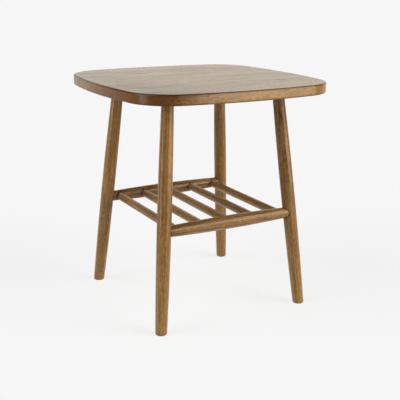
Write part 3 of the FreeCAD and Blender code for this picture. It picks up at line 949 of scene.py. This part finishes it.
def make_floor(studio):
    """A plain pale floor: a flat square. It glows for the camera, and near the table for the gloss too.

    The glow is the background's own colour and thins the shadows. Seen from below the floor is clear.
    """
    half = studio.floor_size / 2
    corners = np.array([[-1, -1, 0], [1, -1, 0], [1, 1, 0], [-1, 1, 0]]) * half
    mesh = bpy.data.meshes.new("floor")
    mesh.from_pydata(corners.tolist(), [], [(0, 1, 2, 3)])
    material = bpy.data.materials.new("matt_pale_paper")
    add = emptied(material)
    # A matt sheet with nothing to see on it but the shadow of the table.
    paper = add("ShaderNodeBsdfDiffuse", {"Color": (*studio.floor, 1)})
    glow = add("ShaderNodeEmission", {"Color": (1, 1, 1, 1), "Strength": 1.0})
    place = add("ShaderNodeTexCoord", output="Object")
    away = add("ShaderNodeVectorMath", {0: place}, output="Value", operation="LENGTH")
    edge = studio.pool_size + studio.pool_fade
    steps = {0: away, 1: studio.pool_size, 2: edge, 3: 1.0, 4: studio.pool_rest}
    pool = add("ShaderNodeMapRange", steps, **SMOOTH)
    seen = seen_directly(add, pool)
    share = add("ShaderNodeMath", {0: seen, 1: studio.glow}, operation="MULTIPLY")
    paper = add("ShaderNodeMixShader", {0: share, 1: paper, 2: glow})
    below = add("ShaderNodeNewGeometry", output="Backfacing")
    clear = add("ShaderNodeBsdfTransparent")
    paper = add("ShaderNodeMixShader", {0: below, 1: paper, 2: clear})
    add("ShaderNodeOutputMaterial", {"Surface": paper})
    mesh.materials.append(material)
    in_scene("floor", mesh)


def seen_directly(add, in_gloss=1.0):
    """1 for the rays of the camera and of light through glass, in_gloss for a reflection, 0 for the rest."""
    gloss = add("ShaderNodeLightPath", output="Is Glossy Ray")
    seen = add("ShaderNodeMath", {0: gloss, 1: in_gloss}, operation="MULTIPLY")
    for ray in ("Is Camera Ray", "Is Transmission Ray"):
        other = add("ShaderNodeLightPath", output=ray)
        seen = add("ShaderNodeMath", {0: seen, 1: other}, operation="MAXIMUM")
    return seen


def direction(round_it, up):
    """The way to a place so many degrees round the table from +X and so many above the horizon."""
    round_it, up = math.radians(round_it), math.radians(up)
    return Vector((math.cos(round_it) * math.cos(up), math.sin(round_it) * math.cos(up), math.sin(up)))


def make_lamp(name, round_it, up, wide, strength):
    """A sun lamp, which lights the whole floor evenly. Its light comes from its place towards the origin.

    The gloss doesn't see it: what it sees instead is in mirrored_lamps.
    """
    data = bpy.data.lights.new(name, "SUN")
    data.energy = strength
    data.angle = math.radians(wide)
    lamp = in_scene(name, data)
    back = direction(round_it, up)
    lamp.rotation_euler = back.to_track_quat("Z", "Y").to_euler()
    lamp.location = back * LAMP_DISTANCE
    lamp.visible_glossy = False


def mirrored_lamps(add, towards, shine):
    """How bright the gloss sees the lamps: a disc for each, its strength over pi times its sine squared.

    The flag hides what is in its band.
    """
    height = add("ShaderNodeVectorMath", {0: towards, 1: (0, 0, 1)}, output="Value", operation="DOT_PRODUCT")
    steps = {0: height, 1: FLAG[0], 2: FLAG[1], 3: 1.0, 4: 0.0}
    under_flag = add("ShaderNodeMapRange", steps, **SMOOTH)
    steps = {0: height, 1: FLAG[2], 2: FLAG[3], 3: 0.0, 4: 1.0}
    over_flag = add("ShaderNodeMapRange", steps, **SMOOTH)
    clear = add("ShaderNodeMath", {0: under_flag, 1: over_flag}, operation="MAXIMUM")
    discs = 0.0
    for _, round_it, up, wide, strength in LAMPS:
        half = math.radians(wide / 2)
        bright = shine * strength / (math.pi * math.sin(half) ** 2)
        facing = {0: towards, 1: direction(round_it, up)}
        facing = add("ShaderNodeVectorMath", facing, output="Value", operation="DOT_PRODUCT")
        edge = math.cos(half + LAMP_RIM), math.cos(half - LAMP_RIM)
        steps = {0: facing, 1: edge[0], 2: edge[1], 3: 0.0, 4: bright}
        disc = add("ShaderNodeMapRange", steps, **SMOOTH)
        discs = add("ShaderNodeMath", {0: disc, 1: discs}, operation="ADD")
    return add("ShaderNodeMath", {0: discs, 1: clear}, operation="MULTIPLY")


def make_world(studio):
    """A dark room with a lit backdrop low behind the table, and the plain background for the camera."""
    world = bpy.data.worlds.new("studio")
    bpy.context.scene.world = world
    add = emptied(world)
    towards = add("ShaderNodeTexCoord", output="Generated")
    facing = add("ShaderNodeVectorMath", {0: towards, 1: BACKDROP}, output="Value", operation="DOT_PRODUCT")
    steps = {0: facing, 1: BACKDROP_RISE[0], 2: BACKDROP_RISE[1], 3: studio.unlit, 4: 1.0}
    lit = add("ShaderNodeMapRange", steps, **SMOOTH)
    dark = add("ShaderNodeMath", {0: 1.0, 1: lit}, operation="SUBTRACT")
    gloss = add("ShaderNodeLightPath", output="Is Glossy Ray")
    dark = add("ShaderNodeMath", {0: dark, 1: gloss}, operation="MULTIPLY")
    seen = add("ShaderNodeMath", {0: 1.0, 1: dark}, operation="SUBTRACT")
    lamps = mirrored_lamps(add, towards, studio.shine)
    seen = add("ShaderNodeMath", {0: lamps, 1: gloss, 2: seen}, operation="MULTIPLY_ADD")
    given = add("ShaderNodeMath", {0: lit, 1: studio.fill}, operation="MULTIPLY")
    light = add("ShaderNodeBackground", {"Color": (*studio.floor, 1), "Strength": given})
    tint = {"Factor": gloss, 6: (*studio.floor, 1), 7: (*studio.backdrop, 1)}
    tint = add("ShaderNodeMix", tint, output=2, data_type="RGBA")
    plain = add("ShaderNodeBackground", {"Color": tint, "Strength": seen})
    both = add("ShaderNodeMixShader", {0: seen_directly(add), 1: light, 2: plain})
    add("ShaderNodeOutputWorld", {"Surface": both})


def make_camera(studio):
    """The camera looks down a little on the front left corner."""
    data = bpy.data.cameras.new("camera")
    data.lens = studio.lens
    data.sensor_width = 36
    camera = in_scene("camera", data)
    ahead = direction(90 - CAMERA_HEADING, CAMERA_PITCH)
    level = direction(-CAMERA_HEADING, 0)
    right, up = rotated(level, level.cross(ahead), CAMERA_ROLL)
    turn = Matrix((right, up, -ahead)).transposed()
    camera.matrix_world = Matrix.Translation(CAMERA_PLACE) @ turn.to_4x4()
    bpy.context.scene.camera = camera


# ---- panel


class TablePanel(bpy.types.Panel):
    """Lists the parts of the table"""

    bl_label = "End Table"
    bl_idname = "VIEW3D_PT_end_table"
    bl_space_type = "VIEW_3D"
    bl_region_type = "UI"
    bl_category = "End Table"

    def draw(self, context):
        layout = self.layout
        for operator in OPERATORS:
            layout.operator(operator.bl_idname)
        for group in (context.scene.table_sizes, context.scene.table_finish, context.scene.table_studio):
            box = layout.box()
            for name in group.__annotations__:
                box.prop(group, name)


OPERATORS = (MakeTop, MakeLegs, MakeRails, MakeDowels, MakeStudio)
GROUPS = {"table_sizes": TableSizes, "table_finish": TableFinish, "table_studio": TableStudio}


def register():
    for made in (*GROUPS.values(), *OPERATORS, TablePanel):
        bpy.utils.register_class(made)
    for name, group in GROUPS.items():
        setattr(bpy.types.Scene, name, PointerProperty(type=group))


def unregister():
    for name in GROUPS:
        delattr(bpy.types.Scene, name)
    for made in reversed((*GROUPS.values(), *OPERATORS, TablePanel)):
        bpy.utils.unregister_class(made)


def main():
    register()
    bpy.context.scene.view_settings.view_transform = "Standard"
    bpy.ops.end_table.make_top()
    bpy.ops.end_table.make_legs()
    bpy.ops.end_table.make_rails()
    bpy.ops.end_table.make_dowels()
    bpy.ops.end_table.make_studio()


if __name__ == "__main__":
    main()
